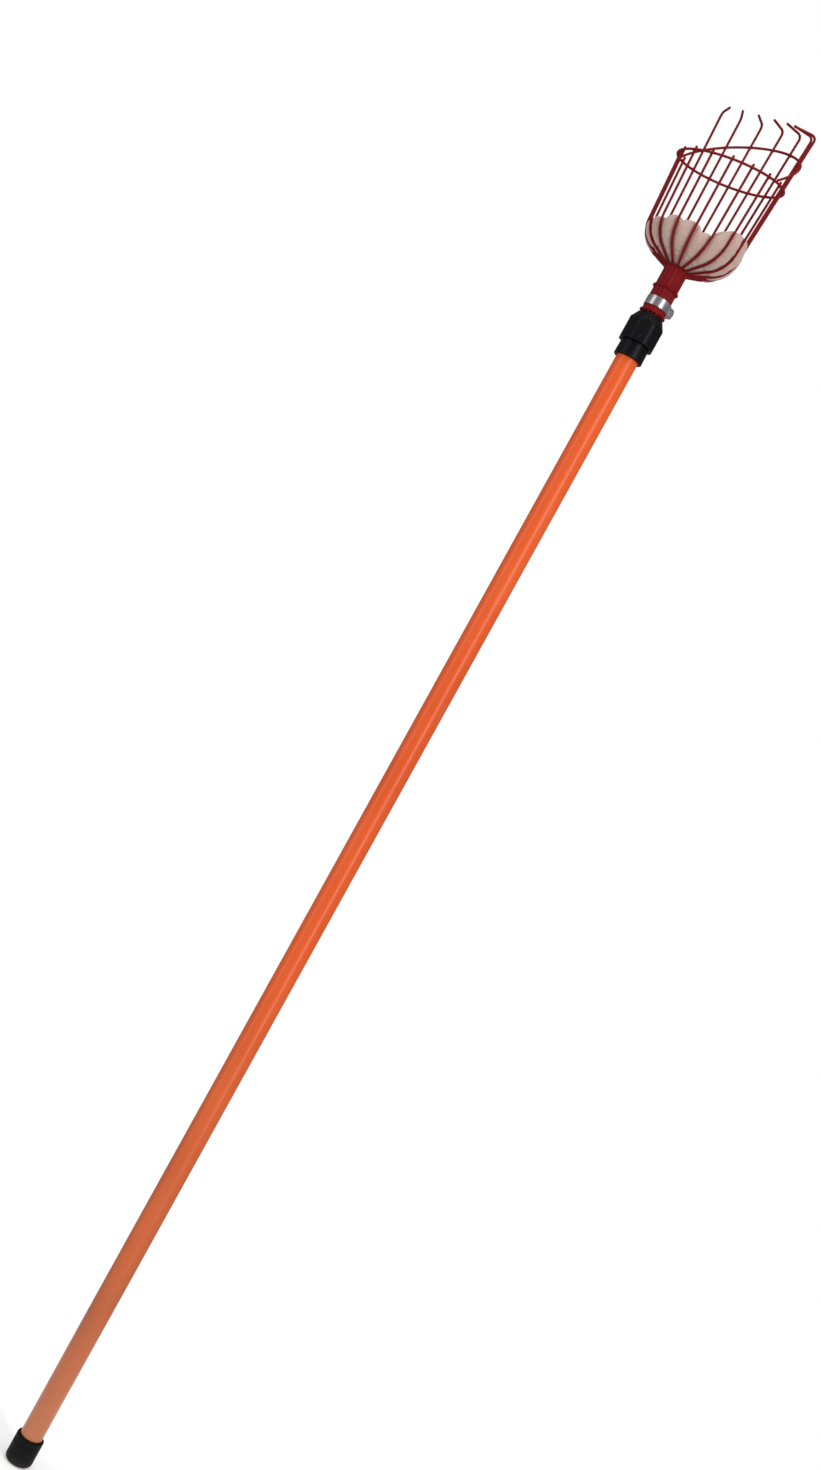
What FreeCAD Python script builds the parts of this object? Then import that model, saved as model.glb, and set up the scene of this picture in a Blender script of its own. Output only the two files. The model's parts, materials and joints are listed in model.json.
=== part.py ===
import FreeCAD, Part
import math
import os

# Fruit picker: a basket of hooked wire tines, clamped to the top of a telescopic twist-lock pole.
#
# Units are millimetres. The origin is the middle of the butt cap's flat end, and +Z runs up the pole to the
# basket. +Y points to the middle one of the hooked tines. Angles named azimuth are degrees round the pole,
# from +Y towards +X.

Vector = FreeCAD.Vector
UP = Vector(0, 0, 1)

# Outer pole
TUBE_OD = 25.4
TUBE_BORE = 23.4
CAP_OD = 31.4
CAP_HEIGHT = 32.0
CAP_BASE = 4.0
CAP_FLAT_RADIUS = 10.0
TUBE_TOP = 1376.0

# Twist lock
LOCK_BODY_BOTTOM = 1361.7
LOCK_BODY_OD_BOTTOM = 33.2
LOCK_BODY_OD_TOP = 32.4
NUT_BOTTOM = 1379.3
NUT_TOP = 1414.0
NUT_OD = 41.2
NUT_ACROSS_FLATS = 39.4
NUT_FLATS = 8
NUT_EDGE = 0.8
NUT_FLAT_AZIMUTH = 152.0
NUT_CHAMFER_START = 1403.5
NUT_TOP_RADIUS = 14.4
NUT_BORE_RADIUS = 10.2
THREAD_TOP = 1394.0
THREAD_ROOT_RADIUS = 14.0
THREAD_CREST_RADIUS = 14.8
THREAD_PITCH = 3.2
THREAD_TURNS = 4
NUT_THREAD_RADIUS = 15.1
NUT_THREAD_CREST = 14.35
COLLET_SEAT = 1386.0
COLLET_SHOULDER = 1395.0
COLLET_TOP = 1403.0
COLLET_RADIUS = 12.7
COLLET_NOSE_RADIUS = 11.0
COLLET_SLIT = 1.6

# Inner pole
INNER_OD = 19.6
INNER_BORE = 17.6
INNER_BOTTOM = 62.0
INNER_TOP = 1466.0
RUNNING_FIT = 0.05
GUIDE_FIT = 0.08
BUSH_BOTTOM = 240.0
BUSH_LENGTH = 32.7
RETAINER_OD = 22.4
RETAINER_HEIGHT = 1.5
AXIAL_GAP = 0.3
PLUG_FLANGE = 4.0
PLUG_STUB = 12.0

# Basket tines
WIRE = 2.8
WELD_BITE = 0.35
TINE_COUNT = 16
HOOKED_TINES_EACH_SIDE = 3
NECK_PITCH_RADIUS = 12.0
NECK_BOTTOM = 1415.2
NECK_TOP = 1470.5
NECK_BEND = 6.0
SOCKET_BITE = 0.1
SOCKET_WALL = 0.8
SOCKET_TOP = 1468.0
SOCKET_SLIT = 2.0
SOCKET_SLIT_AZIMUTH = -11.25
CONE_TOP_RADIUS = 52.3
CONE_TOP = 1489.0
SHOULDER_BEND = 32.0
RIM_HEIGHT = 1591.6
TINE_RADIUS_AT_RIM = 58.5
WALL_LEAN = 0.06
TINE_STUB = 4.2

# Hooks
HOOK_TOP_MEAN = 1657.0
HOOK_TOP_SWING = 25.2
HOOK_HIGH_AZIMUTH = 4.0
HOOK_LENGTH = 26.0
HOOK_BEND = 5.0
HOOK_DROOP = 4.5
HOOK_SKEW = 9.0
HOOK_FAN = 0.71

# Basket rings
RIM_SLOPE = 0.178
RIM_HIGH_AZIMUTH = 15.5
BRACE_HEIGHT = 8.5
BRACE_SLOPE = 0.909
BRACE_HIGH_AZIMUTH = 5.6
BRACE_ENDS = (-103.2, 98.4)
NECK_RING_WIRE = 2.2
NECK_RING_HEIGHTS = {"neck_ring_lower": 1417.3, "neck_ring_upper": 1447.0}

# Foam cushion
CUSHION_GAP = 0.4
CUSHION_THICKNESS = 9.0
CUSHION_FLOOR_RADIUS = 13.0
CUSHION_NOTCH = 29.0
CUSHION_PETALS = [(78, 55, 58.0), (139, 12, 34.5), (163, 16, 38.2), (186, 13, 38.0),
                  (224, 26, 34.5), (275, 28, 46.0), (330, 30, 50.0), (8, 20, 44.0)]

# Worm-drive clamp
CLAMP_HEIGHT = 1428.7
CLAMP_AZIMUTH = 25.0
BAND_WIDTH = 10.4
BAND_THICKNESS = 0.7
BAND_FIT = 0.02
BAND_TAIL_FROM = -22.0
BAND_TAIL_TO = 46.0
BAND_SLOT_PITCH = 6.0
BAND_SLOT = (0.9, 6.6)
HOUSING_LENGTH = 11.0
HOUSING_WIDTH = 11.8
HOUSING_TOP = 21.0
HOUSING_EDGE = 3.2
SCREW_RADIUS = 2.6
SCREW_AXIS_RADIUS = 17.7
SCREW_TIP = 1.9
SCREW_HEAD_FLATS = 6.6
SCREW_HEAD_LENGTH = 4.4
SCREW_WASHER_RADIUS = 3.9
SCREW_WASHER_THICKNESS = 0.9
SCREW_SLOT = (1.1, 1.6)


def around(azimuth):
    """Level unit vector at an azimuth."""
    angle = math.radians(azimuth)
    return Vector(math.sin(angle), math.cos(angle), 0)


def tine_azimuth(number):
    return (number - 1) * 360.0 / TINE_COUNT


def is_hooked(number):
    steps_from_middle = min(number - 1, TINE_COUNT - number + 1)
    return steps_from_middle <= HOOKED_TINES_EACH_SIDE


def wall_radius(height):
    """Radius of the tines' centrelines in the basket's leaning wall."""
    return TINE_RADIUS_AT_RIM + WALL_LEAN * (height - RIM_HEIGHT)


def rounded_edges(points, radii):
    """Straight runs through the points, with a tangent arc of the given radius at each inner point."""
    edges = []
    start = points[0]
    for before, corner, after, radius in zip(points, points[1:], points[2:], radii):
        back = (before - corner).normalize()
        ahead = (after - corner).normalize()
        half_turn = (math.pi - back.getAngle(ahead)) / 2
        reach = radius * math.tan(half_turn)
        sagitta = radius / math.cos(half_turn) - radius
        arc_start = corner + back * reach
        arc_middle = corner + (back + ahead).normalize() * sagitta
        arc_end = corner + ahead * reach
        edges.append(Part.LineSegment(start, arc_start).toShape())
        edges.append(Part.Arc(arc_start, arc_middle, arc_end).toShape())
        start = arc_end
    edges.append(Part.LineSegment(start, points[-1]).toShape())
    return edges


def wire_along(path, diameter):
    """Round wire whose centreline is the path."""
    first = path.Edges[0]
    start = first.valueAt(first.FirstParameter)
    heading = first.tangentAt(first.FirstParameter)
    section = Part.Wire([Part.makeCircle(diameter / 2, start, heading)])
    return path.makePipeShell([section], True, False)


def turned(profile, angle=360):
    """Solid of revolution about the pole from (radius, height) corners."""
    corners = [Vector(radius, 0, height) for radius, height in profile]
    face = Part.Face(Part.makePolygon(corners + [corners[0]]))
    return face.revolve(Vector(0, 0, 0), UP, angle)


def thread_ridges(radius, crest, centres, base, tip):
    """Profile corners of ridges, from the lowest up, standing from radius to crest."""
    corners = []
    for centre in centres:
        corners.append((radius, centre - base / 2))
        corners.append((crest, centre - tip / 2))
        corners.append((crest, centre + tip / 2))
        corners.append((radius, centre + base / 2))
    return corners


def at_azimuth(shape, azimuth):
    """Turn a shape made with its front on +Y to an azimuth."""
    placed = shape.copy()
    placed.rotate(Vector(0, 0, 0), UP, -azimuth)
    return placed


# Outer pole

def outer_tube():
    return turned([(TUBE_BORE / 2, CAP_BASE), (TUBE_OD / 2, CAP_BASE),
                   (TUBE_OD / 2, TUBE_TOP), (TUBE_BORE / 2, TUBE_TOP)])


def butt_cap():
    """Moulded cup over the tube's end, with a rounded foot, two grip grooves and a soft top lip."""
    outside = CAP_OD / 2
    groove = 0.7
    foot_round = outside - CAP_FLAT_RADIUS
    lip_round = 2.0
    socket = Vector(TUBE_OD / 2, 0, CAP_BASE)
    corners = [Vector(0, 0, 0), Vector(outside, 0, 0), Vector(outside, 0, CAP_HEIGHT),
               Vector(TUBE_OD / 2, 0, CAP_HEIGHT)]
    edges = rounded_edges(corners, [foot_round, lip_round])
    for start, end in ((corners[-1], socket), (socket, UP * CAP_BASE), (UP * CAP_BASE, corners[0])):
        edges.append(Part.LineSegment(start, end).toShape())
    cap = Part.Face(Part.Wire(edges)).revolve(Vector(0, 0, 0), UP, 360)
    for height in (CAP_HEIGHT - 7.0, CAP_HEIGHT - 10.0):
        cap = cap.cut(Part.makeTorus(outside + 0.2, groove, Vector(0, 0, height)))
    return cap


# Twist lock

def lock_body():
    """Ferrule on the tube: socket below, threaded neck with the collet's seat above."""
    first_ridge = NUT_BOTTOM + THREAD_PITCH
    centres = [first_ridge + THREAD_PITCH * turn for turn in range(THREAD_TURNS)]
    ridges = thread_ridges(THREAD_ROOT_RADIUS, THREAD_CREST_RADIUS, centres, base=1.6, tip=0.8)
    guide = INNER_OD / 2 + GUIDE_FIT
    seat = COLLET_RADIUS + RUNNING_FIT
    shoulder = NUT_BOTTOM - AXIAL_GAP
    outside = [(LOCK_BODY_OD_BOTTOM / 2 - 0.6, LOCK_BODY_BOTTOM), (LOCK_BODY_OD_BOTTOM / 2, LOCK_BODY_BOTTOM + 0.6),
               (LOCK_BODY_OD_TOP / 2, shoulder), (THREAD_ROOT_RADIUS, shoulder)]
    inside = [(THREAD_ROOT_RADIUS, THREAD_TOP), (seat, THREAD_TOP), (seat, COLLET_SEAT), (guide, COLLET_SEAT),
              (guide, TUBE_TOP), (TUBE_OD / 2, TUBE_TOP), (TUBE_OD / 2, LOCK_BODY_BOTTOM)]
    return turned(outside + ridges + inside)


def lock_collet():
    """Split ring with a tapered nose, which the nut squeezes on to the inner tube."""
    grip = INNER_OD / 2 + RUNNING_FIT
    ring = turned([(grip, COLLET_SEAT), (COLLET_RADIUS, COLLET_SEAT), (COLLET_RADIUS, COLLET_SHOULDER),
                   (COLLET_NOSE_RADIUS, COLLET_TOP), (grip, COLLET_TOP)])
    height = COLLET_TOP - COLLET_SEAT
    slit = Part.makeBox(COLLET_SLIT, COLLET_RADIUS * 2, height + 2,
                        Vector(-COLLET_SLIT / 2, 0, COLLET_SEAT - 1))
    return ring.cut(slit)


def lock_nut():
    """Eight-sided grip nut with a chamfered top, soft edges, an inner thread and a taper over the collet."""
    side = Part.makeBox(NUT_ACROSS_FLATS, NUT_ACROSS_FLATS, NUT_TOP - NUT_BOTTOM,
                        Vector(-NUT_ACROSS_FLATS / 2, -NUT_ACROSS_FLATS / 2, NUT_BOTTOM))
    nut = turned([(0, NUT_BOTTOM), (NUT_OD / 2, NUT_BOTTOM), (NUT_OD / 2, NUT_CHAMFER_START),
                  (NUT_TOP_RADIUS, NUT_TOP), (0, NUT_TOP)])
    for pair in range(NUT_FLATS // 4):
        flats = side.copy()
        flats.rotate(Vector(0, 0, 0), UP, pair * 360.0 / NUT_FLATS)
        nut = nut.common(flats)
    nut = nut.makeFillet(NUT_EDGE, nut.Edges)
    first_groove = NUT_BOTTOM + THREAD_PITCH * 1.5
    centres = [first_groove + THREAD_PITCH * turn for turn in range(THREAD_TURNS - 1)]
    ridges = thread_ridges(NUT_THREAD_RADIUS, NUT_THREAD_CREST, centres, base=1.0, tip=0.6)
    roof = THREAD_TOP + AXIAL_GAP
    taper_gap = AXIAL_GAP + 0.1
    bore = turned([(0, NUT_BOTTOM - 1), (NUT_THREAD_RADIUS, NUT_BOTTOM - 1)] + ridges
                  + [(NUT_THREAD_RADIUS, roof), (COLLET_RADIUS + taper_gap, roof),
                     (COLLET_RADIUS + taper_gap, COLLET_SHOULDER), (COLLET_NOSE_RADIUS + taper_gap, COLLET_TOP),
                     (COLLET_NOSE_RADIUS + taper_gap, COLLET_TOP + AXIAL_GAP),
                     (NUT_BORE_RADIUS, COLLET_TOP + AXIAL_GAP), (NUT_BORE_RADIUS, NUT_TOP + 1), (0, NUT_TOP + 1)])
    return at_azimuth(nut.cut(bore), NUT_FLAT_AZIMUTH)


# Inner pole

def glide_bush():
    """Sleeve that slides in the outer tube, with two relief grooves."""
    inside = INNER_OD / 2 + RUNNING_FIT
    outside = TUBE_BORE / 2 - GUIDE_FIT
    relief = outside - 0.4
    groove = 3.0
    top = BUSH_BOTTOM + BUSH_LENGTH
    profile = [(inside, BUSH_BOTTOM), (outside, BUSH_BOTTOM)]
    for centre in (BUSH_BOTTOM + BUSH_LENGTH / 3, BUSH_BOTTOM + BUSH_LENGTH * 2 / 3):
        profile += [(outside, centre - groove / 2), (relief, centre - groove / 2),
                    (relief, centre + groove / 2), (outside, centre + groove / 2)]
    return turned(profile + [(outside, top), (inside, top)])


def retaining_rings():
    """Rings pressed on the inner tube, one each side of the bush; the upper one is the end stop."""
    lower = BUSH_BOTTOM - AXIAL_GAP - RETAINER_HEIGHT
    upper = BUSH_BOTTOM + BUSH_LENGTH + AXIAL_GAP
    rings = [turned([(INNER_OD / 2, bottom), (RETAINER_OD / 2, bottom),
                     (RETAINER_OD / 2, bottom + RETAINER_HEIGHT), (INNER_OD / 2, bottom + RETAINER_HEIGHT)])
             for bottom in (lower, upper)]
    return Part.makeCompound(rings)


def inner_tube():
    return turned([(INNER_BORE / 2, INNER_BOTTOM), (INNER_OD / 2, INNER_BOTTOM),
                   (INNER_OD / 2, INNER_TOP), (INNER_BORE / 2, INNER_TOP)])


def stop_plug():
    """Plug that closes and centres the inner tube's lower end."""
    flange = TUBE_BORE / 2 - AXIAL_GAP
    bottom = INNER_BOTTOM - PLUG_FLANGE
    return turned([(0, bottom), (flange - 1, bottom), (flange, bottom + 1), (flange, INNER_BOTTOM),
                   (INNER_BORE / 2, INNER_BOTTOM), (INNER_BORE / 2, INNER_BOTTOM + PLUG_STUB),
                   (0, INNER_BOTTOM + PLUG_STUB)])


def tip_plug():
    """Plug that keeps the inner tube's top round under the clamp."""
    top = INNER_TOP + 2.5
    rim = INNER_OD / 2 - 0.1
    return turned([(0, INNER_TOP - PLUG_STUB), (INNER_BORE / 2, INNER_TOP - PLUG_STUB),
                   (INNER_BORE / 2, INNER_TOP), (rim, INNER_TOP), (rim, top - 1), (rim - 1, top), (0, top)])


# Basket

def neck_socket():
    """Split steel sleeve that slips over the inner tube, with the tines welded round it."""
    outside = NECK_PITCH_RADIUS - WIRE / 2 + SOCKET_BITE
    sleeve = turned([(outside - SOCKET_WALL, NECK_BOTTOM), (outside, NECK_BOTTOM),
                     (outside, SOCKET_TOP), (outside - SOCKET_WALL, SOCKET_TOP)])
    slit = Part.makeBox(SOCKET_SLIT, 2 * outside, SOCKET_TOP - NECK_BOTTOM + 2,
                        Vector(-SOCKET_SLIT / 2, 0, NECK_BOTTOM - 1))
    return sleeve.cut(at_azimuth(slit, SOCKET_SLIT_AZIMUTH))


def tine(number):
    """One tine: down the neck, out along the cone, up the wall, and over into a hook if it has one."""
    azimuth = tine_azimuth(number)
    out = around(azimuth)
    points = [out * NECK_PITCH_RADIUS + UP * NECK_BOTTOM,
              out * NECK_PITCH_RADIUS + UP * NECK_TOP,
              out * CONE_TOP_RADIUS + UP * CONE_TOP]
    radii = [NECK_BEND, SHOULDER_BEND]
    if is_hooked(number):
        side = (azimuth + 180) % 360 - 180
        top = HOOK_TOP_MEAN + HOOK_TOP_SWING * math.cos(math.radians(side - HOOK_HIGH_AZIMUTH))
        droop = math.radians(HOOK_DROOP)
        heading = around(HOOK_SKEW + HOOK_FAN * side) * -math.cos(droop) - UP * math.sin(droop)
        corner = out * wall_radius(top) + UP * top
        points += [corner, corner + heading * HOOK_LENGTH]
        radii.append(HOOK_BEND)
    else:
        lift = TINE_RADIUS_AT_RIM * RIM_SLOPE * math.cos(math.radians(azimuth - RIM_HIGH_AZIMUTH))
        top = RIM_HEIGHT + lift + TINE_STUB
        points.append(out * wall_radius(top) + UP * top)
    return wire_along(Part.Wire(rounded_edges(points, radii)), WIRE)


def ring_ellipse(level, slope, high_azimuth):
    """Centreline of a flat tilted ring that lies on the outside of the tines' leaning wall.

    The ring's plane rises by slope towards high_azimuth from level, its height above the rim at the axis. The
    plane cuts the wall's cone in an ellipse, whose parameter starts at the ring's highest point.
    """
    outside = TINE_RADIUS_AT_RIM + WIRE - WELD_BITE
    radius = outside + WALL_LEAN * level
    squeeze = WALL_LEAN * slope
    shift = radius * squeeze / (1 - squeeze ** 2)
    long_half = radius / (1 - squeeze ** 2)
    short_half = radius / math.sqrt(1 - squeeze ** 2)
    rise = around(high_azimuth) + UP * slope
    centre = UP * (RIM_HEIGHT + level) + rise * shift
    return Part.Ellipse(centre + rise * long_half, centre + around(high_azimuth + 90) * short_half, centre)


def rim_ring():
    ring = ring_ellipse(0.0, RIM_SLOPE, RIM_HIGH_AZIMUTH)
    return wire_along(Part.Wire([ring.toShape()]), WIRE)


def brace_ring():
    """Steep hoop welded across the hooked tines, with both ends on top of the rim ring."""
    ring = ring_ellipse(BRACE_HEIGHT, BRACE_SLOPE, BRACE_HIGH_AZIMUTH)
    start, end = [math.radians(end) for end in BRACE_ENDS]
    return wire_along(Part.Wire([ring.toShape(start, end)]), WIRE)


def neck_ring(height):
    """Wire ring welded round the neck."""
    radius = NECK_PITCH_RADIUS + (WIRE + NECK_RING_WIRE) / 2 - WELD_BITE
    return Part.makeTorus(radius, NECK_RING_WIRE / 2, Vector(0, 0, height))


# Foam cushion

def cushion_section(top):
    """Half section of the foam cup, standing inside the tines, with its wall up to a height."""
    clear = WIRE / 2 + CUSHION_GAP
    cone_rise = (CONE_TOP - NECK_TOP) / (CONE_TOP_RADIUS - NECK_PITCH_RADIUS)
    cone_lift = clear * math.hypot(1, cone_rise)
    floor = NECK_TOP + cone_lift + cone_rise * (CUSHION_FLOOR_RADIUS - NECK_PITCH_RADIUS)
    thick_lift = CUSHION_THICKNESS * math.hypot(1, cone_rise)
    corner_out = wall_radius(CONE_TOP) - clear
    corner_in = corner_out - CUSHION_THICKNESS
    corner_low = NECK_TOP + cone_lift + cone_rise * (corner_out - NECK_PITCH_RADIUS)
    corner_high = corner_low + thick_lift - cone_rise * CUSHION_THICKNESS
    bend = SHOULDER_BEND - clear
    outside = [Vector(0, 0, floor), Vector(CUSHION_FLOOR_RADIUS, 0, floor), Vector(corner_out, 0, corner_low),
               Vector(wall_radius(top) - clear, 0, top)]
    inside = [Vector(wall_radius(top) - clear - CUSHION_THICKNESS, 0, top), Vector(corner_in, 0, corner_high),
              Vector(CUSHION_FLOOR_RADIUS, 0, floor + thick_lift), Vector(0, 0, floor + thick_lift)]
    edges = rounded_edges(outside, [6.0, bend])
    edges.append(Part.LineSegment(outside[-1], inside[0]).toShape())
    edges += rounded_edges(inside, [bend - CUSHION_THICKNESS, 6.0])
    edges.append(Part.LineSegment(inside[-1], outside[0]).toShape())
    return Part.Face(Part.Wire(edges))


def cushion():
    """Foam cup in the bottom of the basket, whose wall rises in rounded petals of uneven width and height.

    Each petal is (azimuth, half angle, height of its top above the neck).
    """
    notch = NECK_TOP + CUSHION_NOTCH
    tallest = max(petal_top for azimuth, half_angle, petal_top in CUSHION_PETALS)
    cup = cushion_section(NECK_TOP + tallest + 1).revolve(Vector(0, 0, 0), UP, 360)
    reach = wall_radius(notch) + WIRE
    kept = Part.makeCylinder(reach, CUSHION_NOTCH + WIRE, UP * (NECK_TOP - WIRE))
    for azimuth, half_angle, petal_top in CUSHION_PETALS:
        half_width = wall_radius(notch) * math.sin(math.radians(half_angle))
        rise = petal_top - CUSHION_NOTCH
        radius = (half_width ** 2 + rise ** 2) / (2 * rise)
        crown = Part.makeCylinder(radius, reach, UP * (NECK_TOP + petal_top - radius), Vector(0, 1, 0))
        above = Part.makeBox(2 * reach, reach, tallest, Vector(-reach, 0, notch - 2))
        kept = kept.fuse(at_azimuth(crown.common(above), azimuth))
    return cup.common(kept)


# Worm-drive clamp, made with its housing on +Y and then turned

def clamp_band():
    """Steel band round the neck with its tail lying over its start, slotted for the worm."""
    inside = NECK_PITCH_RADIUS + WIRE / 2 + BAND_FIT
    middle = inside + BAND_THICKNESS
    bottom = CLAMP_HEIGHT - BAND_WIDTH / 2
    top = CLAMP_HEIGHT + BAND_WIDTH / 2
    band = turned([(inside, bottom), (middle, bottom), (middle, top), (inside, top)])
    tail = turned([(middle - 0.01, bottom), (middle + BAND_THICKNESS, bottom),
                   (middle + BAND_THICKNESS, top), (middle - 0.01, top)], BAND_TAIL_TO - BAND_TAIL_FROM)
    tail.rotate(Vector(0, 0, 0), UP, 90 - BAND_TAIL_TO)
    band = band.fuse(tail)
    slot_count = int((BAND_TAIL_TO - 26) / BAND_SLOT_PITCH) + 1
    for index in range(slot_count):
        slot = Part.makeBox(BAND_SLOT[0], 2 * BAND_THICKNESS, BAND_SLOT[1],
                            Vector(-BAND_SLOT[0] / 2, middle + 0.05, CLAMP_HEIGHT - BAND_SLOT[1] / 2))
        slot.rotate(Vector(0, middle, CLAMP_HEIGHT), Vector(0, 1, 0), 8)
        band = band.cut(at_azimuth(slot, 26 + index * BAND_SLOT_PITCH))
    return at_azimuth(band, CLAMP_AZIMUTH)


def clamp_housing():
    """Bent saddle over the screw, with cheeks down both edges of the band."""
    band_outside = NECK_PITCH_RADIUS + WIRE / 2 + BAND_FIT + 2 * BAND_THICKNESS
    cheek_inside = NECK_PITCH_RADIUS + WIRE / 2 + 0.3
    low = cheek_inside - 1
    housing = Part.makeBox(HOUSING_LENGTH, HOUSING_TOP - low, HOUSING_WIDTH,
                           Vector(-HOUSING_LENGTH / 2, low, CLAMP_HEIGHT - HOUSING_WIDTH / 2))
    long_edges = [edge for edge in housing.Edges
                  if abs(edge.BoundBox.YMin - HOUSING_TOP) < 1e-6 and edge.BoundBox.XLength > 1]
    housing = housing.makeFillet(HOUSING_EDGE, long_edges)
    gap = 0.05
    band_space = Part.makeCylinder(band_outside + gap, BAND_WIDTH + 2 * gap,
                                   Vector(0, 0, CLAMP_HEIGHT - BAND_WIDTH / 2 - gap))
    neck_space = Part.makeCylinder(cheek_inside, 2 * HOUSING_WIDTH, Vector(0, 0, CLAMP_HEIGHT - HOUSING_WIDTH))
    bore = Part.makeCylinder(SCREW_RADIUS + RUNNING_FIT, 2 * HOUSING_LENGTH,
                             Vector(-HOUSING_LENGTH, SCREW_AXIS_RADIUS, CLAMP_HEIGHT), Vector(1, 0, 0))
    housing = housing.cut(band_space).cut(neck_space).cut(bore)
    return at_azimuth(housing, CLAMP_AZIMUTH)


def clamp_screw():
    """Worm screw along the housing, with a washer and a slotted hexagon head at the -X end."""
    axis = Vector(0, SCREW_AXIS_RADIUS, CLAMP_HEIGHT)
    headward = Vector(-1, 0, 0)
    tip = axis - headward * (HOUSING_LENGTH / 2 + SCREW_TIP)
    washer_face = axis + headward * (HOUSING_LENGTH / 2 + AXIAL_GAP)
    head_face = washer_face + headward * SCREW_WASHER_THICKNESS
    shank = Part.makeCylinder(SCREW_RADIUS, (head_face - tip).Length, tip, headward)
    washer = Part.makeCylinder(SCREW_WASHER_RADIUS, SCREW_WASHER_THICKNESS, washer_face, headward)
    corner = SCREW_HEAD_FLATS / math.sqrt(3)
    corners = [head_face + Vector(0, math.cos(math.radians(60 * step)), math.sin(math.radians(60 * step))) * corner
               for step in range(7)]
    head = Part.Face(Part.makePolygon(corners)).extrude(headward * SCREW_HEAD_LENGTH)
    slot_width, slot_depth = SCREW_SLOT
    slot = Part.makeBox(slot_depth, 4 * corner, slot_width,
                        head_face + headward * SCREW_HEAD_LENGTH - Vector(0, 2 * corner, slot_width / 2))
    return at_azimuth(shank.fuse(washer).fuse(head.cut(slot)), CLAMP_AZIMUTH)


def all_parts():
    parts = {
        "outer_tube": outer_tube(),
        "butt_cap": butt_cap(),
        "lock_body": lock_body(),
        "lock_collet": lock_collet(),
        "lock_nut": lock_nut(),
        "glide_bush": glide_bush(),
        "retaining_rings": retaining_rings(),
        "inner_tube": inner_tube(),
        "stop_plug": stop_plug(),
        "tip_plug": tip_plug(),
        "neck_socket": neck_socket(),
        "rim_ring": rim_ring(),
        "brace_ring": brace_ring(),
        "cushion": cushion(),
        "clamp_band": clamp_band(),
        "clamp_housing": clamp_housing(),
        "clamp_screw": clamp_screw(),
    }
    for name, height in NECK_RING_HEIGHTS.items():
        parts[name] = neck_ring(height)
    for number in range(1, TINE_COUNT + 1):
        parts["tine_%02d" % number] = tine(number)
    return parts


os.makedirs("parts", exist_ok=True)
for name, shape in sorted(all_parts().items()):
    shape.exportStep("parts/%s.step" % name)
    print("%-18s solids %d  valid %s  volume %.0f mm3" % (name, len(shape.Solids), shape.isValid(), shape.Volume))
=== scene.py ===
import bmesh
import bpy
import json
import math
import numpy as np
from mathutils import Matrix, Vector, noise


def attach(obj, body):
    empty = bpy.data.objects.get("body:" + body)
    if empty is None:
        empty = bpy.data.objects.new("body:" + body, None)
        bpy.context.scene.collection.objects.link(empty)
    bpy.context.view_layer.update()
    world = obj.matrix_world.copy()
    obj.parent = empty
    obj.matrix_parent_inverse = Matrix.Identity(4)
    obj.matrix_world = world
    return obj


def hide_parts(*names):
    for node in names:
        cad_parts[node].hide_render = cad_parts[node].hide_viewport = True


# A fruit picker: a basket of coated wire on a telescopic pole. Metres; +Z up the pole, +Y to the middle hook.

MM = 0.001
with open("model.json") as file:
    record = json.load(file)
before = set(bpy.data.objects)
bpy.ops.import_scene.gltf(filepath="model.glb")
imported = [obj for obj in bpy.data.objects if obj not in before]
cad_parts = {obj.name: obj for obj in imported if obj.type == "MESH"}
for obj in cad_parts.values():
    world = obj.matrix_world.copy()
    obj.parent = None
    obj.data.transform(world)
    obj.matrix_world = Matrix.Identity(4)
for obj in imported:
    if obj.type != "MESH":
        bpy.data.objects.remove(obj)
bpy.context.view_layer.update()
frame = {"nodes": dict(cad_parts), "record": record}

# Camera: where it stands, how far it is rolled so that the pole leans to the right in the picture, and its
# lens and sensor in mm
VIEW_AZIMUTH = math.radians(28.1)
VIEW_DISTANCE = 1.85
VIEW_HEIGHT = 0.893
VIEW_LEFT = 0.0083
POLE_LEAN = math.radians(28.97)
LENS = 41.91
SENSOR = 36.0

# Strength of the white surroundings for matt surfaces and in reflections
AMBIENT = 0.60
REFLECTED = 0.18

# The floor is solid out to FLOOR_SOLID and fades out before its edge
FLOOR_RADIUS = 0.75
FLOOR_SOLID = 0.05

# Tines; heights are above the butt, radii are of the wires' centrelines
TINE_COUNT = 16
WIRE = 2.8 * MM
HOOKED_TINES = (1, 2, 3, 4, 14, 15, 16)
NECK_PITCH_RADIUS = 12.0 * MM
NECK_BOTTOM = 1415.2 * MM
NECK_BEND = 6.0 * MM
NECK_TOP = 1470.5 * MM
CONE_TOP_RADIUS = 52.3 * MM
CONE_TOP = 1489.0 * MM
SHOULDER_BEND = 32.0 * MM
RIM_HEIGHT = 1591.6 * MM
TINE_RADIUS_AT_RIM = 58.5 * MM
WALL_LEAN = 0.06

# Rings: level above the rim at the axis, slope, and the azimuth of the high side
RIM_SLOPE = 0.178
RIM_HIGH_AZIMUTH = 15.5
BRACE_LEVEL = 8.5 * MM
BRACE_SLOPE = 0.909
BRACE_HIGH_AZIMUTH = 5.6
NECK_RING_HEIGHTS = (1417.3 * MM, 1447.0 * MM)

# Skin of coating between the tines: its thickness, and how far it runs up the cone and dips between two tines
WEB_SKIN = 0.5 * MM
WEB_REACH = 5.0 * MM
WEB_DIP = 6.0 * MM

# Foam cushion; a petal is (azimuth in degrees, half angle, height of its top above the neck), and between two
# petals the foam stands FOAM_NOTCH above the neck
FOAM_THICKNESS = 8.0 * MM
FOAM_GAP = 0.6 * MM
FOAM_FLOOR_RADIUS = 13.0 * MM
FOAM_NOTCH = 29.0 * MM
FOAM_PETALS = [(78, 55, 58.0 * MM), (139, 12, 34.5 * MM), (163, 16, 38.2 * MM), (186, 13, 38.0 * MM),
               (224, 26, 34.5 * MM), (275, 28, 46.0 * MM), (330, 30, 50.0 * MM), (8, 20, 44.0 * MM)]

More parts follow.
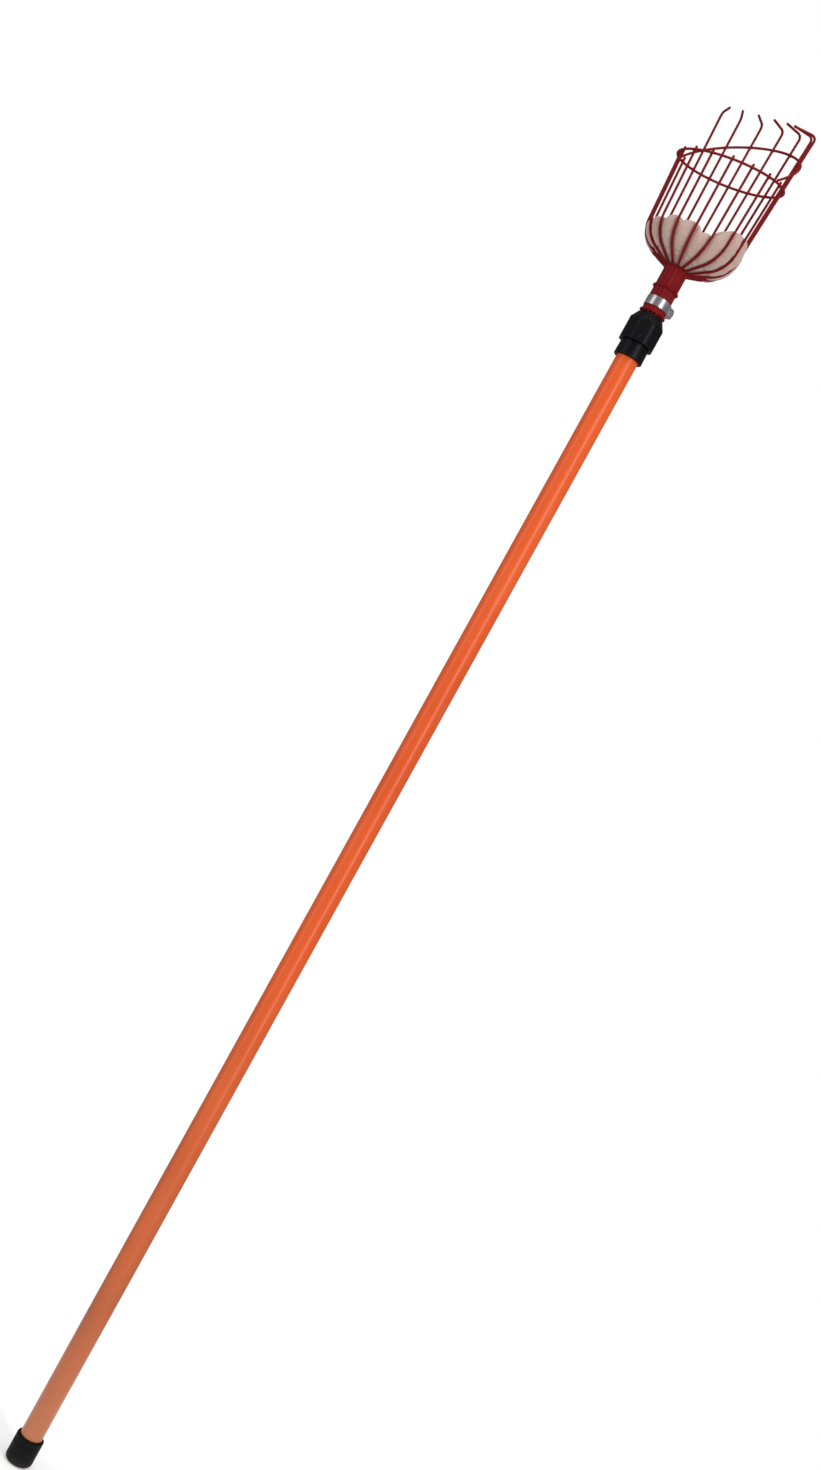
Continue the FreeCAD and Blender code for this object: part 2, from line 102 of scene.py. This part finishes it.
# The foam's unevenness, as (size across, depth) of each layer of lumps
FOAM_LUMPS = ((14 * MM, 0.5 * MM), (5 * MM, 0.2 * MM))

# Cloth simulation of the foam: it is held this close to a tine, free beyond that, and half held on the inside
HELD_WITHIN = 2.0 * MM
FREE_BEYOND = 4.5 * MM
INSIDE_HOLD = 0.6
SIM_SCALE = 10.0
SIM_FRAMES = 24
SIM_PRESSURE = 200.0
SIM_GROWTH = 0.2
SIM_MOST = 6.0 * MM

# Radii of the pooled coating: outward, sideways and up at a weld, across and along the wire at its end
RIM_WELD = (1.8 * MM, 2.1 * MM, 2.1 * MM)
NECK_WELD = (1.1 * MM, 1.8 * MM, 1.6 * MM)
WELD_OUTWARD = 0.45 * WIRE
END_BEAD = (1.52 * MM, 1.52 * MM, 1.15 * MM)
END_INSET = 0.2 * MM

# Lights: metres towards the camera, to the right and up from the view's middle, height aimed at, size, watts
LIGHTS = {
    "key": (1.7, 1.1, 0.3, 0.0, (0.30, 2.6), 20),
    "fill": (1.2, -2.0, 0.2, 0.0, (0.8, 2.6), 10),
    "top": (0.5, 0.0, 2.0, 0.6, (1.4, 1.4), 12),
}


# ---------------------------------------------------------------- node helpers

def shader(name):
    """New node material and its Principled shader."""
    material = bpy.data.materials.new(name)
    material.use_nodes = True
    return material, material.node_tree.nodes["Principled BSDF"]


def add(material, kind, inputs=None, **settings):
    """Adds a node; inputs maps a socket's name or number to a value or to another node's output."""
    node = material.node_tree.nodes.new(kind)
    for key, value in settings.items():
        setattr(node, key, value)
    for key, value in (inputs or {}).items():
        plug(material, node.inputs[key], value)
    return node


def plug(material, socket, value):
    """Links a node's output to a socket, or sets the socket to a constant."""
    if isinstance(value, bpy.types.NodeSocket):
        material.node_tree.links.new(value, socket)
    else:
        socket.default_value = value


def place(material, scale=(1, 1, 1)):
    """The piece's own coordinates in metres, stretched by scale."""
    source = add(material, "ShaderNodeTexCoord").outputs["Object"]
    return add(material, "ShaderNodeMapping", {"Vector": source, "Scale": scale}).outputs["Vector"]


def grain(material, size, detail=4.0, roughness=0.55, stretch=(1, 1, 1), distortion=0.0):
    """Noise whose features are about size metres across."""
    inputs = {"Vector": place(material, stretch), "Scale": 1 / size, "Detail": detail,
              "Roughness": roughness, "Distortion": distortion}
    return add(material, "ShaderNodeTexNoise", inputs).outputs["Fac"]


def ramp(material, factor, stops):
    """Colour ramp through (place, value or colour) stops."""
    node = add(material, "ShaderNodeValToRGB", {"Fac": factor})
    elements = node.color_ramp.elements
    while len(elements) < len(stops):
        elements.new(0.5)
    for element, (position, value) in zip(elements, stops):
        colour = value if isinstance(value, tuple) else (value, value, value)
        element.position = position
        element.color = (*colour, 1)
    return node.outputs["Color"]


def mix(material, factor, first, second):
    """Mixes two colours."""
    node = add(material, "ShaderNodeMix", data_type="RGBA")
    plug(material, node.inputs[0], factor)
    for socket, value in ((node.inputs[6], first), (node.inputs[7], second)):
        plug(material, socket, (*value, 1) if isinstance(value, tuple) else value)
    return node.outputs[2]


def maths(material, operation, first, second=0.0, clamp=False):
    """Result of a Math node on two values."""
    node = add(material, "ShaderNodeMath", {0: first, 1: second}, operation=operation, use_clamp=clamp)
    return node.outputs[0]


def bump(material, principled, layers):
    """Stacks (height output, depth in metres) bump layers on the shader's normal."""
    normal = None
    for height, depth in layers:
        node = add(material, "ShaderNodeBump", {"Height": height, "Distance": depth, "Strength": 1.0})
        if normal is not None:
            plug(material, node.inputs["Normal"], normal)
        normal = node.outputs["Normal"]
    plug(material, principled.inputs["Normal"], normal)


def height_share(material, low, high):
    """0 at height low to 1 at height high, up the pole."""
    parts = add(material, "ShaderNodeSeparateXYZ", {0: place(material)})
    inputs = {"Value": parts.outputs["Z"], "From Min": low, "From Max": high}
    return add(material, "ShaderNodeMapRange", inputs).outputs["Result"]


# ---------------------------------------------------------------- materials

def orange_paint():
    """Glossy orange stove paint, duller and browner towards the butt, with rubbed marks along the tube."""
    material, principled = shader("orange_paint")
    along = (1, 1, 0.12)
    patches = grain(material, 0.045, stretch=(1, 1, 0.35))
    fine = grain(material, 0.006, detail=6.0, stretch=along)
    bright = mix(material, ramp(material, patches, [(0.35, 0.0), (0.7, 1.0)]), (0.76, 0.088, 0.007),
                 (0.81, 0.118, 0.016))
    brown = mix(material, ramp(material, patches, [(0.3, 0.0), (0.7, 1.0)]), (0.40, 0.125, 0.050),
                (0.50, 0.160, 0.060))
    wobble = maths(material, "MULTIPLY", maths(material, "SUBTRACT", patches, 0.5), 0.35)
    height = maths(material, "ADD", height_share(material, 0.02, 0.62), wobble, clamp=True)
    colour = mix(material, height, brown, bright)
    rubbed = ramp(material, fine, [(0.60, 0.0), (0.72, 1.0)])
    colour = mix(material, maths(material, "MULTIPLY", rubbed, 0.10), colour, (0.62, 0.30, 0.16))
    plug(material, principled.inputs["Base Color"], colour)
    rough = ramp(material, fine, [(0.2, 0.26), (0.8, 0.42)])
    plug(material, principled.inputs["Roughness"], rough)
    principled.inputs["Specular IOR Level"].default_value = 0.40
    principled.inputs["Coat Weight"].default_value = 0.15
    principled.inputs["Coat Roughness"].default_value = 0.22
    peel = grain(material, 0.0035, detail=2.0)
    bump(material, principled, [(peel, 0.00006), (fine, 0.00004)])
    return material


def black_rubber():
    """Matt black moulded rubber, dusty on the foot."""
    material, principled = shader("black_rubber")
    cloud = grain(material, 0.012, detail=5.0)
    speckle = grain(material, 0.0011, detail=3.0)
    dust = maths(material, "SUBTRACT", 1.0, height_share(material, 0.0, 0.012), clamp=True)
    dust = maths(material, "MULTIPLY", dust, ramp(material, cloud, [(0.35, 0.0), (0.75, 0.35)]))
    colour = mix(material, dust, mix(material, cloud, (0.0025, 0.0025, 0.003), (0.006, 0.006, 0.0065)),
                 (0.10, 0.085, 0.07))
    plug(material, principled.inputs["Base Color"], colour)
    plug(material, principled.inputs["Roughness"], ramp(material, speckle, [(0.2, 0.50), (0.8, 0.72)]))
    principled.inputs["Specular IOR Level"].default_value = 0.12
    bump(material, principled, [(cloud, 0.0001), (speckle, 0.00007)])
    return material


def moulded_plastic(name, dark, light):
    """Satin injection-moulded plastic with a fine spark-eroded grain and faint scuffs."""
    material, principled = shader(name)
    cloud = grain(material, 0.018, detail=4.0)
    speckle = grain(material, 0.0007, detail=2.0)
    scuff = ramp(material, grain(material, 0.004, detail=6.0, stretch=(1, 1, 0.3), distortion=1.5),
                 [(0.62, 0.0), (0.70, 1.0)])
    colour = mix(material, cloud, dark, light)
    worn = tuple(channel + 0.03 for channel in light)
    plug(material, principled.inputs["Base Color"],
         mix(material, maths(material, "MULTIPLY", scuff, 0.35), colour, worn))
    rough = maths(material, "ADD", ramp(material, speckle, [(0.2, 0.30), (0.8, 0.46)]),
                  maths(material, "MULTIPLY", scuff, 0.12))
    plug(material, principled.inputs["Roughness"], rough)
    principled.inputs["Specular IOR Level"].default_value = 0.18
    bump(material, principled, [(cloud, 0.00012), (speckle, 0.00004)])
    return material


def red_coating():
    """Thick dark red dipped coating, a little uneven in depth and gloss."""
    material, principled = shader("red_coating")
    cloud = grain(material, 0.014, detail=4.0)
    runs = grain(material, 0.004, detail=3.0, stretch=(1, 1, 0.25))
    deep = mix(material, ramp(material, cloud, [(0.3, 0.0), (0.7, 1.0)]), (0.160, 0.002, 0.004),
               (0.225, 0.003, 0.006))
    colour = mix(material, ramp(material, runs, [(0.45, 0.0), (0.80, 0.35)]), deep, (0.29, 0.007, 0.010))
    plug(material, principled.inputs["Base Color"], colour)
    plug(material, principled.inputs["Roughness"], ramp(material, runs, [(0.2, 0.30), (0.8, 0.46)]))
    principled.inputs["Specular IOR Level"].default_value = 0.16
    bump(material, principled, [(cloud, 0.00012), (runs, 0.00005)])
    return material


def rolled_steel():
    """Bright zinc-plated strip with rolling lines and a little staining."""
    material, principled = shader("clamp_steel")
    lines = grain(material, 0.004, detail=8.0, roughness=0.7, stretch=(1, 1, 12))
    stain = grain(material, 0.006, detail=4.0)
    colour = mix(material, ramp(material, stain, [(0.35, 0.0), (0.75, 1.0)]), (0.82, 0.80, 0.84),
                 (0.60, 0.57, 0.61))
    plug(material, principled.inputs["Base Color"], colour)
    principled.inputs["Metallic"].default_value = 1.0
    plug(material, principled.inputs["Roughness"], ramp(material, lines, [(0.25, 0.20), (0.75, 0.42)]))
    bump(material, principled, [(lines, 0.00004), (stain, 0.00005)])
    return material


def drawn_aluminium():
    """Bare drawn aluminium tube with fine lines along it."""
    material, principled = shader("drawn_aluminium")
    lines = grain(material, 0.0012, detail=6.0, roughness=0.7, stretch=(1, 1, 0.01))
    cloud = grain(material, 0.03, detail=3.0)
    colour = mix(material, cloud, (0.58, 0.59, 0.61), (0.70, 0.71, 0.73))
    plug(material, principled.inputs["Base Color"], colour)
    principled.inputs["Metallic"].default_value = 1.0
    plug(material, principled.inputs["Roughness"], ramp(material, lines, [(0.2, 0.28), (0.8, 0.45)]))
    bump(material, principled, [(lines, 0.00003)])
    return material


def open_cell_foam():
    """Pinkish beige sponge: pores of two sizes with painted shade in the larger ones, skin between them, a
    painted highlight on its raised lumps, and a greyer, grubby cast in places.
    """
    material, principled = shader("open_cell_foam")
    warp = grain(material, 0.010, detail=3.0)
    pores = add(material, "ShaderNodeTexVoronoi", {"Vector": place(material), "Scale": 1 / 0.0016},
                feature="F1").outputs["Distance"]
    small = add(material, "ShaderNodeTexVoronoi", {"Vector": place(material), "Scale": 1 / 0.0007},
                feature="F1").outputs["Distance"]
    cast = grain(material, 0.035, detail=3.0)
    colour = mix(material, ramp(material, cast, [(0.35, 0.0), (0.65, 1.0)]), (0.57, 0.365, 0.315),
                 (0.48, 0.345, 0.290))
    # Painted shade: the larger pores are darkened towards their middles, where shade falls in the holes
    pore_shade = ramp(material, pores, [(0.05, 1.0), (0.42, 0.0)])
    colour = mix(material, maths(material, "MULTIPLY", pore_shade, 0.40), colour, (0.26, 0.160, 0.125))
    # Painted highlight: lighter where the largest lumps of the bump stand highest
    colour = mix(material, maths(material, "MULTIPLY", ramp(material, warp, [(0.55, 0.0), (0.8, 1.0)]), 0.25),
                 colour, (0.60, 0.47, 0.40))
    plug(material, principled.inputs["Base Color"], colour)
    principled.inputs["Roughness"].default_value = 0.92
    principled.inputs["Sheen Weight"].default_value = 0.25
    principled.inputs["Sheen Roughness"].default_value = 0.6
    principled.inputs["Subsurface Weight"].default_value = 0.08
    principled.inputs["Subsurface Radius"].default_value = (0.004, 0.002, 0.0015)
    principled.inputs["Subsurface Scale"].default_value = 1.0
    bump(material, principled, [(warp, 0.0006), (pores, 0.0005), (small, 0.00025)])
    return material


# One material for each of the record's material slots
MATERIALS = {
    "orange_tube": orange_paint(),
    "black_rubber": black_rubber(),
    "black_plastic": moulded_plastic("black_plastic", (0.002, 0.002, 0.003), (0.005, 0.005, 0.0065)),
    "grey_plastic": moulded_plastic("grey_plastic", (0.30, 0.30, 0.31), (0.38, 0.38, 0.39)),
    "bare_aluminium": drawn_aluminium(),
    "red_wire": red_coating(),
    "clamp_steel": rolled_steel(),
    "foam": open_cell_foam(),
}


def dress(node, material):
    """Gives a CAD node its material."""
    node.data.materials.clear()
    node.data.materials.append(material)


for part in frame["record"]["subparts"]:
    dress(frame["nodes"][part["node"]], MATERIALS[part["material_slot"]])


# ---------------------------------------------------------------- shapes shared by the pieces

def around(azimuth):
    """Level unit vector at an azimuth in degrees, from +Y towards +X."""
    angle = math.radians(azimuth)
    return Vector((math.sin(angle), math.cos(angle), 0))


def from_tine(azimuth):
    """0 at a tine and 1 halfway to the next."""
    return abs((azimuth * TINE_COUNT / 360 + 0.5) % 1 - 0.5) * 2


def wall_radius(height):
    """Radius of the tines' centrelines in the basket's leaning wall."""
    return TINE_RADIUS_AT_RIM + WALL_LEAN * (height - RIM_HEIGHT)


def rounded(corners, radii, steps=12):
    """Points along straight runs from corner to corner, with an arc of the given radius at each inner one."""
    corners = [Vector(corner) for corner in corners]
    points = [corners[0]]
    for before, corner, after, radius in zip(corners, corners[1:], corners[2:], radii):
        back = (before - corner).normalized()
        ahead = (after - corner).normalized()
        half = back.angle(ahead) / 2
        centre = corner + (back + ahead).normalized() * (radius / math.sin(half))
        first = corner + back * (radius / math.tan(half)) - centre
        last = corner + ahead * (radius / math.tan(half)) - centre
        points += [centre + first.slerp(last, step / steps) * radius for step in range(steps + 1)]
    return points + [corners[-1]]


def walker(points):
    """Function of (distance, inward) that gives (radius, height, tangent) along a path, moved to its left."""
    path = np.array([tuple(point) for point in points])
    reach = np.concatenate([[0], np.cumsum(np.hypot(*np.diff(path, axis=0).T))])

    def at(distance, inward):
        before = Vector([np.interp(distance - 0.1 * MM, reach, path[:, axis]) for axis in (0, 1)])
        after = Vector([np.interp(distance + 0.1 * MM, reach, path[:, axis]) for axis in (0, 1)])
        tangent = (after - before).normalized()
        middle = (before + after) / 2
        return middle.x - tangent.y * inward, middle.y + tangent.x * inward, tangent

    return at, path, reach


def new_piece(name, mesh_data, material, body):
    """Puts a bmesh into the scene as a smooth piece that rides on a body."""
    mesh = bpy.data.meshes.new(name)
    mesh_data.normal_update()
    mesh_data.to_mesh(mesh)
    mesh_data.free()
    mesh.polygons.foreach_set("use_smooth", [True] * len(mesh.polygons))
    mesh.materials.append(material)
    piece = bpy.data.objects.new(name, mesh)
    bpy.context.scene.collection.objects.link(piece)
    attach(piece, body)
    return piece


def smoothed(piece, levels):
    """Subdivides a piece, in renders too."""
    piece.modifiers.new("smooth", "SUBSURF").levels = levels
    piece.modifiers["smooth"].render_levels = levels


# ---------------------------------------------------------------- foam cushion

def foam_section():
    """Outside of the foam cup, as (radius, height) points from the axis up to above the highest petal."""
    clear = WIRE / 2 + FOAM_GAP
    cone_rise = (CONE_TOP - NECK_TOP) / (CONE_TOP_RADIUS - NECK_PITCH_RADIUS)
    lift = clear * math.hypot(1, cone_rise)
    floor_height = NECK_TOP + lift + cone_rise * (FOAM_FLOOR_RADIUS - NECK_PITCH_RADIUS)
    side = wall_radius(CONE_TOP) - clear
    side_height = NECK_TOP + lift + cone_rise * (side - NECK_PITCH_RADIUS)
    top = NECK_TOP + max(petal_top for _, _, petal_top in FOAM_PETALS) + 5 * MM
    return rounded([(0, floor_height), (FOAM_FLOOR_RADIUS, floor_height), (side, side_height),
                    (wall_radius(top) - clear, top)], [14 * MM, SHOULDER_BEND - clear])


def lip_height(azimuth):
    """Height of the foam's lip: the tallest of the rounded petals there, or the notch between them."""
    highest = 0.0
    for centre, half_angle, petal_top in FOAM_PETALS:
        offset = abs((azimuth - centre + 180) % 360 - 180) / half_angle
        if offset < 1:
            highest = max(highest, (petal_top - FOAM_NOTCH) * math.sqrt(1 - offset ** 2))
    return NECK_TOP + FOAM_NOTCH + highest


def foam_mesh():
    """Closed cup of foam in columns round the axis: up the outside, over the lip and down the inside.

    Returns the bmesh and, for each of its points, how firmly it is held: fully on the floor and where a tine
    presses on the outside, softly on the inside, and not at all between the tines.
    """
    columns = TINE_COUNT * 10
    rows = 30
    lip_steps = 5
    at, path, reach = walker(foam_section())
    rising = path[:, 1] > path[0, 1]
    cup = bmesh.new()
    held = []

    def vertex(radius, height, azimuth, hold):
        held.append(hold)
        return cup.verts.new(around(azimuth) * radius + Vector((0, 0, height)))

    lines = []
    for column in range(columns):
        azimuth = 360 * column / columns
        lip = np.interp(lip_height(azimuth) - FOAM_THICKNESS / 2, path[rising, 1], reach[rising])
        line = []
        for row in range(1, rows + 1):
            radius, height, _ = at(lip * row / rows, 0)
            distance = from_tine(azimuth) * math.pi * radius / TINE_COUNT
            pressed = (FREE_BEYOND - distance) / (FREE_BEYOND - HELD_WITHIN)
            hold = 1.0 if radius < FOAM_FLOOR_RADIUS else min(1.0, max(0.0, pressed))
            line.append(vertex(radius, height, azimuth, hold))
        for step in range(1, lip_steps):
            turn = math.pi * step / lip_steps
            radius, height, tangent = at(lip, FOAM_THICKNESS / 2 * (1 - math.cos(turn)))
            rise = tangent * (FOAM_THICKNESS / 2 * math.sin(turn))
            line.append(vertex(radius + rise.x, height + rise.y, azimuth, 0.0))
        for row in range(rows, 0, -1):
            radius, height, _ = at(lip * row / rows, FOAM_THICKNESS)
            line.append(vertex(radius, height, azimuth, INSIDE_HOLD))
        lines.append(line)
    bottom = vertex(0, path[0, 1], 0, 1.0)
    top = vertex(0, path[0, 1] + FOAM_THICKNESS, 0, 1.0)
    for line, after in zip(lines, lines[1:] + lines[:1]):
        cup.faces.new((bottom, line[0], after[0]))
        cup.faces.new((top, after[-1], line[-1]))
        for low in range(len(line) - 1):
            cup.faces.new((line[low], line[low + 1], after[low + 1], after[low]))
    bmesh.ops.recalc_face_normals(cup, faces=cup.faces)
    return cup, held


def swell(piece, held):
    """Cloth simulation: the piece grows by up to SIM_GROWTH and swells under pressure where it isn't held.

    It runs SIM_SCALE times larger than life, where Blender's cloth is steady. No point moves past SIM_MOST.
    """
    rest = np.array([vertex.co for vertex in piece.data.vertices])
    piece.data.vertices.foreach_set("co", ((rest - rest.mean(axis=0)) * SIM_SCALE).ravel())
    group = piece.vertex_groups.new(name="held")
    for index, hold in enumerate(held):
        if hold > 0:
            group.add([index], hold, "REPLACE")
    cloth = piece.modifiers.new("cloth", "CLOTH")
    cloth.point_cache.frame_start = 1
    cloth.point_cache.frame_end = SIM_FRAMES
    settings = cloth.settings
    settings.quality = 5
    settings.mass = 0.3
    settings.tension_stiffness = 12
    settings.compression_stiffness = 12
    settings.shear_stiffness = 6
    settings.bending_stiffness = 1.0
    settings.shrink_min = -SIM_GROWTH
    settings.use_pressure = True
    settings.uniform_pressure_force = SIM_PRESSURE
    settings.effector_weights.gravity = 0
    settings.vertex_group_mass = group.name
    cloth.collision_settings.use_collision = False
    for number in range(1, SIM_FRAMES + 1):
        bpy.context.scene.frame_set(number)
    evaluated = piece.evaluated_get(bpy.context.evaluated_depsgraph_get())
    swollen = np.array([vertex.co for vertex in evaluated.data.vertices]) / SIM_SCALE + rest.mean(axis=0)
    piece.modifiers.remove(cloth)
    piece.vertex_groups.remove(group)
    bpy.context.scene.frame_set(1)
    move = swollen - rest
    length = np.linalg.norm(move, axis=1, keepdims=True)
    move *= np.minimum(1, SIM_MOST / np.maximum(length, 1e-9))
    piece.data.vertices.foreach_set("co", (rest + move).ravel())
    piece.data.update()


def foam_cushion(material):
    """The foam cup, swollen between the tines and slightly uneven all over."""
    cup, held = foam_mesh()
    piece = new_piece("foam_cushion", cup, material, "head")
    swell(piece, held)
    for vertex in piece.data.vertices:
        vertex.co += vertex.normal * sum(noise.noise(vertex.co / size) * depth for size, depth in FOAM_LUMPS)
    smoothed(piece, 1)
    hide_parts("cushion")


# ---------------------------------------------------------------- coating that pooled on the wire

def tine_azimuth(number):
    """Azimuth in degrees of a tine, counted from 1 at +Y."""
    return (number - 1) * 360 / TINE_COUNT


def ring_height(azimuth, level, slope, high_azimuth):
    """Height at which a tilted ring crosses the wall at an azimuth."""
    share = slope * math.cos(math.radians(azimuth - high_azimuth))
    outside = TINE_RADIUS_AT_RIM + WIRE / 2
    return RIM_HEIGHT + (level + outside * share) / (1 - WALL_LEAN * share)


def blob(target, centre, axes, radii):
    """Adds a slightly lumpy ellipsoid, given by its three axes' directions and radii, to a bmesh."""
    made = bmesh.ops.create_icosphere(target, subdivisions=2, radius=1.0)
    for vertex in made["verts"]:
        shape = vertex.co * (1 + 0.12 * noise.noise(vertex.co * 1.3 + centre * 900))
        vertex.co = centre.copy()
        for axis, part, radius in zip(axes, shape, radii):
            vertex.co += axis * (part * radius)


def weld_pools(material):
    """Coating pooled in the corners where the rings are welded across the tines."""
    pools = bmesh.new()
    up = Vector((0, 0, 1))
    for number in range(1, TINE_COUNT + 1):
        azimuth = tine_azimuth(number)
        axes = (around(azimuth), around(azimuth + 90), up)
        crossings = [ring_height(azimuth, 0.0, RIM_SLOPE, RIM_HIGH_AZIMUTH)]
        if number in HOOKED_TINES:
            crossings.append(ring_height(azimuth, BRACE_LEVEL, BRACE_SLOPE, BRACE_HIGH_AZIMUTH))
        for height in crossings:
            centre = axes[0] * (wall_radius(height) + WELD_OUTWARD) + up * height
            blob(pools, centre, axes, RIM_WELD)
        for height in NECK_RING_HEIGHTS:
            centre = axes[0] * (NECK_PITCH_RADIUS + WELD_OUTWARD) + up * height
            blob(pools, centre, axes, NECK_WELD)
    smoothed(new_piece("weld_pools", pools, material, "head"), 1)


def end_beads(material):
    """Round beads of coating on the cut ends of the tines and of the brace."""
    beads = bmesh.new()
    for name, wire in frame["nodes"].items():
        if not name.startswith(("tine_", "brace_")):
            continue
        for centre, outward in cut_ends(wire.data):
            if centre.z < NECK_TOP:
                continue
            side = outward.orthogonal().normalized()
            blob(beads, centre - outward * END_INSET, (side, outward.cross(side), outward), END_BEAD)
    smoothed(new_piece("end_beads", beads, material, "head"), 1)


def cut_ends(mesh):
    """(centre, outward direction) of each flat end of a wire's mesh: close triangles with one normal."""
    groups = {}
    for face in mesh.polygons:
        groups.setdefault(tuple(round(part, 2) for part in face.normal), []).append(face)
    ends = []
    for normal, faces in groups.items():
        area = sum(face.area for face in faces)
        centre = sum((face.center * face.area for face in faces), Vector()) / area
        corners = [mesh.vertices[index].co for face in faces for index in face.vertices]
        clustered = all((corner - centre).length < 0.6 * WIRE for corner in corners)
        if clustered and area > 0.8 * math.pi * (WIRE / 2) ** 2:
            ends.append((centre, Vector(normal).normalized()))
    return ends


def coating_webs(material):
    """Skin of coating that bridges the tines round the neck and for a little way up the cone."""
    columns = TINE_COUNT * 8
    rows = 30
    at, _, _ = walker(rounded([(NECK_PITCH_RADIUS, NECK_BOTTOM), (NECK_PITCH_RADIUS, NECK_TOP),
                               (CONE_TOP_RADIUS, CONE_TOP)], [NECK_BEND]))
    webs = bmesh.new()
    lines = []
    for column in range(columns):
        azimuth = 360 * column / columns
        away = from_tine(azimuth)
        end = NECK_TOP - NECK_BOTTOM + WEB_REACH - WEB_DIP * away ** 2
        proud = WEB_SKIN * (1 + 1.2 * (1 - away) ** 2)
        line = []
        for depth, order in ((-proud, range(1, rows + 1)), (WEB_SKIN, range(rows, 0, -1))):
            for row in order:
                radius, height, _ = at(end * row / rows, depth)
                line.append(webs.verts.new(around(azimuth) * radius + Vector((0, 0, height))))
        lines.append(line)
    for line, after in zip(lines, lines[1:] + lines[:1]):
        for low, high in zip(range(len(line)), list(range(1, len(line))) + [0]):
            webs.faces.new((line[low], line[high], after[high], after[low]))
    bmesh.ops.recalc_face_normals(webs, faces=webs.faces)
    new_piece("coating_webs", webs, material, "head")


foam_cushion(MATERIALS["foam"])
weld_pools(MATERIALS["red_wire"])
end_beads(MATERIALS["red_wire"])
coating_webs(MATERIALS["red_wire"])


# ---------------------------------------------------------------- floor, light and camera

def floor():
    """Pale floor round the butt that fades into the white surroundings."""
    radius = FLOOR_RADIUS
    rings = 24
    sides = 96
    mesh = bpy.data.meshes.new("floor")
    grid = bmesh.new()
    centre = grid.verts.new((0, 0, 0))
    previous = None
    for ring in range(1, rings + 1):
        reach = radius * ring / rings
        row = [grid.verts.new((reach * math.cos(2 * math.pi * side / sides),
                               reach * math.sin(2 * math.pi * side / sides), 0)) for side in range(sides)]
        for side in range(sides):
            after = (side + 1) % sides
            if previous is None:
                grid.faces.new((centre, row[side], row[after]))
            else:
                grid.faces.new((previous[side], row[side], row[after], previous[after]))
        previous = row
    grid.to_mesh(mesh)
    grid.free()
    disc = bpy.data.objects.new("floor", mesh)
    bpy.context.scene.collection.objects.link(disc)
    material, principled = shader("floor")
    principled.inputs["Base Color"].default_value = (0.95, 0.95, 0.95, 1)
    principled.inputs["Roughness"].default_value = 0.8
    principled.inputs["Emission Color"].default_value = (1.0, 1.0, 1.0, 1)
    principled.inputs["Emission Strength"].default_value = 0.25
    distance = add(material, "ShaderNodeVectorMath", {0: place(material)}, operation="LENGTH")
    inputs = {"Value": distance.outputs["Value"], "From Min": FLOOR_SOLID, "From Max": radius * 0.9,
              "To Min": 1.0, "To Max": 0.0}
    fade = add(material, "ShaderNodeMapRange", inputs, interpolation_type="SMOOTHERSTEP")
    plug(material, principled.inputs["Alpha"], fade.outputs["Result"])
    mesh.materials.append(material)


def softbox(name, position, target, size, watts):
    """Rectangular light of size (width, height) at a position, aimed at a target."""
    data = bpy.data.lights.new(name, "AREA")
    data.shape = "RECTANGLE"
    data.size, data.size_y = size
    data.energy = watts
    lamp = bpy.data.objects.new(name, data)
    lamp.location = position
    lamp.rotation_euler = (Vector(target) - Vector(position)).to_track_quat("-Z", "Y").to_euler()
    bpy.context.scene.collection.objects.link(lamp)


def lights():
    """White surroundings, dimmer in reflections, a tall light on the right and a weaker one on the left."""
    world = bpy.data.worlds.new("studio")
    world.use_nodes = True
    nodes = world.node_tree.nodes
    links = world.node_tree.links
    nodes["Background"].inputs["Color"].default_value = (1.0, 1.0, 1.0, 1)
    ray = nodes.new("ShaderNodeLightPath")
    level = AMBIENT
    for kind, strength in (("Is Glossy Ray", REFLECTED), ("Is Camera Ray", 1.0)):
        choice = nodes.new("ShaderNodeMix")
        links.new(ray.outputs[kind], choice.inputs["Factor"])
        if isinstance(level, float):
            choice.inputs["A"].default_value = level
        else:
            links.new(level, choice.inputs["A"])
        choice.inputs["B"].default_value = strength
        level = choice.outputs["Result"]
    links.new(level, nodes["Background"].inputs["Strength"])
    bpy.context.scene.world = world
    bpy.context.scene.view_settings.view_transform = "Standard"
    toward = Vector((math.sin(VIEW_AZIMUTH), -math.cos(VIEW_AZIMUTH), 0))
    right = Vector((math.cos(VIEW_AZIMUTH), math.sin(VIEW_AZIMUTH), 0))
    up = Vector((0, 0, 1))
    middle = Vector((0, 0, VIEW_HEIGHT))
    for name, (near, side, rise, aim, size, watts) in LIGHTS.items():
        softbox(name, middle + toward * near + right * side + up * rise, middle + up * aim, size, watts)


def camera():
    """Level camera, rolled so that the upright pole leans to the right in the picture."""
    right = Vector((math.cos(VIEW_AZIMUTH), math.sin(VIEW_AZIMUTH), 0))
    back = Vector((math.sin(VIEW_AZIMUTH), -math.cos(VIEW_AZIMUTH), 0))
    up = Vector((0, 0, 1))
    rolled_up = up * math.cos(POLE_LEAN) - right * math.sin(POLE_LEAN)
    rolled_right = up * math.sin(POLE_LEAN) + right * math.cos(POLE_LEAN)
    data = bpy.data.cameras.new("camera")
    data.lens = LENS
    data.sensor_width = SENSOR
    holder = bpy.data.objects.new("camera", data)
    pose = Matrix((rolled_right, rolled_up, back)).transposed().to_4x4()
    pose.translation = Vector((0, 0, VIEW_HEIGHT)) - right * VIEW_LEFT + back * VIEW_DISTANCE
    holder.matrix_world = pose
    bpy.context.scene.collection.objects.link(holder)
    bpy.context.scene.camera = holder


floor()
lights()
camera()
